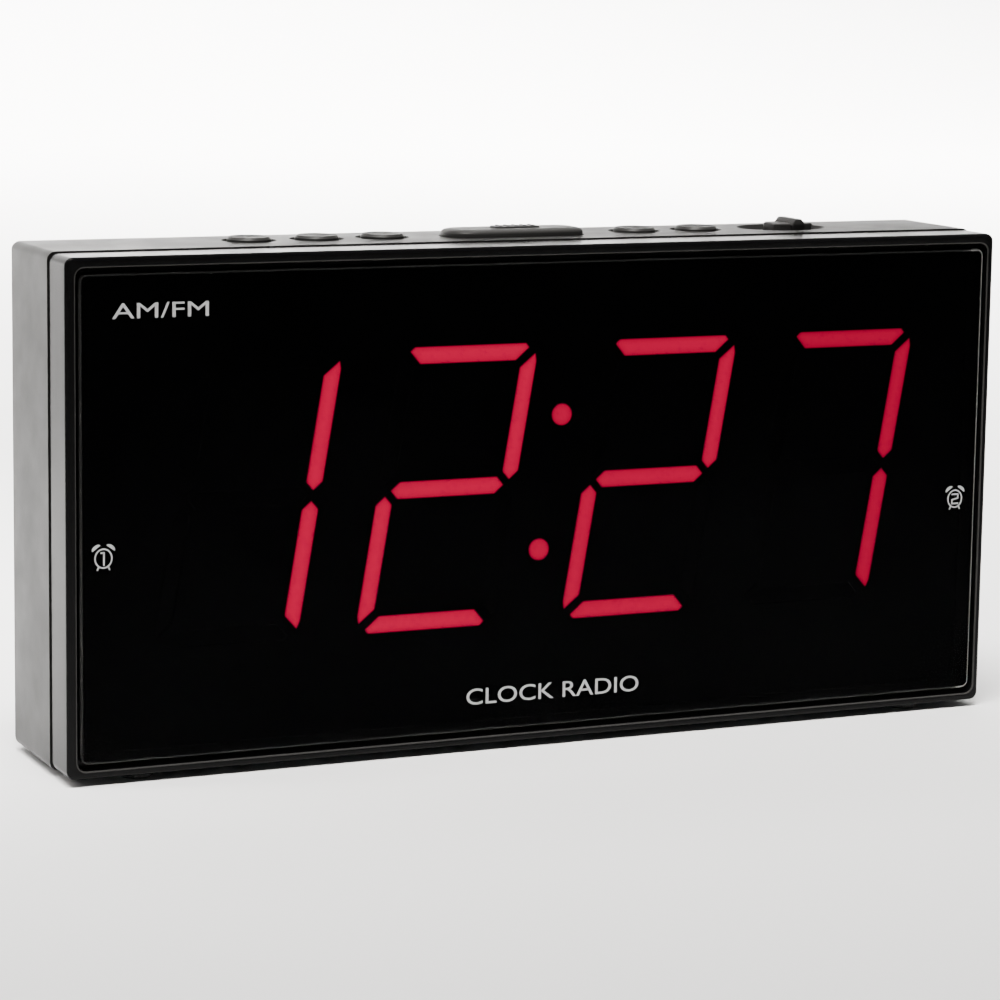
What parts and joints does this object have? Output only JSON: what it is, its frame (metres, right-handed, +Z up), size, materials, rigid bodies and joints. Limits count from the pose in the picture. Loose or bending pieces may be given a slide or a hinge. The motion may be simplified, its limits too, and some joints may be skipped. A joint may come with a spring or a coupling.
{
  "type": "clock radio",
  "caption": "Slim bedside clock radio: wide smoked display with big slanted red digits, round keys, a snooze bar and a slide switch along the top.",
  "frame": {"origin": "centre of the footprint, on the surface the feet stand on", "axes": "+X along the width, to the right seen from the front; +Y from the display to the rear wall; +Z up"},
  "size_m": [0.18, 0.032, 0.0918],
  "materials": {
    "gloss_housing": "glossy black",
    "shell_plastic": "satin black, fine texture",
    "smoked_lens": "smoked, high gloss",
    "mask_plastic": "matt black",
    "diffuser_red": "translucent red, moulded",
    "circuit_board": "green solder resist",
    "key_plastic": "satin black",
    "grip_plastic": "matt black with raised dots",
    "lever_plastic": "natural nylon",
    "dome_rubber": "grey silicone",
    "foot_rubber": "matt black",
    "package_black": "moulded epoxy",
    "plated_steel": "plated",
    "capacitor_sleeve": "dark blue sleeve",
    "ferrite": "sintered, matt",
    "copper_winding": "enamelled wire",
    "ribbon_pvc": "grey flat cable",
    "speaker_steel": "zinc grey",
    "magnet_ferrite": "matt",
    "cone_paper": "pressed, matt black",
    "cell_sleeve": "printed steel can"
  },
  "bodies": {
    "housing": {"front_bezel": "gloss_housing", "display_lens": "smoked_lens", "rear_shell": "shell_plastic", "segment_mask": "mask_plastic", "segment_light_guide": "diffuser_red", "display_board": "circuit_board", "key_board": "circuit_board", "main_board": "circuit_board", "slide_switch_body": "plated_steel", "clock_chip": "package_black", "tuner_chip": "package_black", "amplifier_chip": "package_black", "quartz_crystal": "plated_steel", "filter_capacitor": "capacitor_sleeve", "dc_jack": "package_black", "ferrite_rod": "ferrite", "antenna_coil": "copper_winding", "display_ribbon": "ribbon_pvc", "key_ribbon": "ribbon_pvc", "speaker_frame": "speaker_steel", "speaker_magnet": "magnet_ferrite", "speaker_cone": "cone_paper", "battery_tray": "package_black", "battery_cell_1": "cell_sleeve", "battery_cell_2": "cell_sleeve", "battery_spring_1": "plated_steel", "battery_spring_2": "plated_steel", "key_board_screw_left": "plated_steel", "key_board_screw_right": "plated_steel", "key_dome_snooze": "dome_rubber", "key_dome_time_set": "dome_rubber", "key_dome_tune_down": "dome_rubber", "key_dome_tune_up": "dome_rubber", "key_dome_alarm_1": "dome_rubber", "key_dome_alarm_2": "dome_rubber", "rubber_foot_1": "foot_rubber", "case_screw_1": "plated_steel", "rubber_foot_2": "foot_rubber", "case_screw_2": "plated_steel", "rubber_foot_3": "foot_rubber", "case_screw_3": "plated_steel", "rubber_foot_4": "foot_rubber", "case_screw_4": "plated_steel", "main_board_screw_1": "plated_steel", "main_board_screw_2": "plated_steel", "main_board_screw_3": "plated_steel"},
    "time_set_button": {"time_set_button": "key_plastic"},
    "tune_down_button": {"tune_down_button": "key_plastic"},
    "tune_up_button": {"tune_up_button": "key_plastic"},
    "alarm_1_button": {"alarm_1_button": "key_plastic"},
    "alarm_2_button": {"alarm_2_button": "key_plastic"},
    "snooze_bar": {"snooze_bar": "key_plastic", "snooze_pad": "grip_plastic"},
    "slide_knob": {"slide_knob": "key_plastic", "slide_switch_lever": "lever_plastic"},
    "battery_door": {"battery_door": "shell_plastic"}
  },
  "joints": [
    {"name": "time_set_press", "type": "slide", "parent": "housing", "child": "time_set_button", "axis": [0, 0, -1], "range_m": [0, 0.001], "stiffness_N_per_m": 500, "springref_m": -0.0008, "deforming": ["key_dome_time_set"]},
    {"name": "tune_down_press", "type": "slide", "parent": "housing", "child": "tune_down_button", "axis": [0, 0, -1], "range_m": [0, 0.001], "stiffness_N_per_m": 500, "springref_m": -0.0008, "deforming": ["key_dome_tune_down"]},
    {"name": "tune_up_press", "type": "slide", "parent": "housing", "child": "tune_up_button", "axis": [0, 0, -1], "range_m": [0, 0.001], "stiffness_N_per_m": 500, "springref_m": -0.0008, "deforming": ["key_dome_tune_up"]},
    {"name": "alarm_1_press", "type": "slide", "parent": "housing", "child": "alarm_1_button", "axis": [0, 0, -1], "range_m": [0, 0.001], "stiffness_N_per_m": 500, "springref_m": -0.0008, "deforming": ["key_dome_alarm_1"]},
    {"name": "alarm_2_press", "type": "slide", "parent": "housing", "child": "alarm_2_button", "axis": [0, 0, -1], "range_m": [0, 0.001], "stiffness_N_per_m": 500, "springref_m": -0.0008, "deforming": ["key_dome_alarm_2"]},
    {"name": "snooze_press", "type": "slide", "parent": "housing", "child": "snooze_bar", "axis": [0, 0, -1], "range_m": [0, 0.001], "stiffness_N_per_m": 700, "springref_m": -0.0008, "deforming": ["key_dome_snooze"]},
    {"name": "mode_slide", "type": "slide", "parent": "housing", "child": "slide_knob", "axis": [1, 0, 0], "range_m": [-0.0028, 0]},
    {"name": "battery_door_hinge", "type": "hinge", "parent": "housing", "child": "battery_door", "pos_m": [0.036, 0.01485, 0.03985], "axis": [-1, 0, 0], "range_deg": [0, 80]}
  ]
}
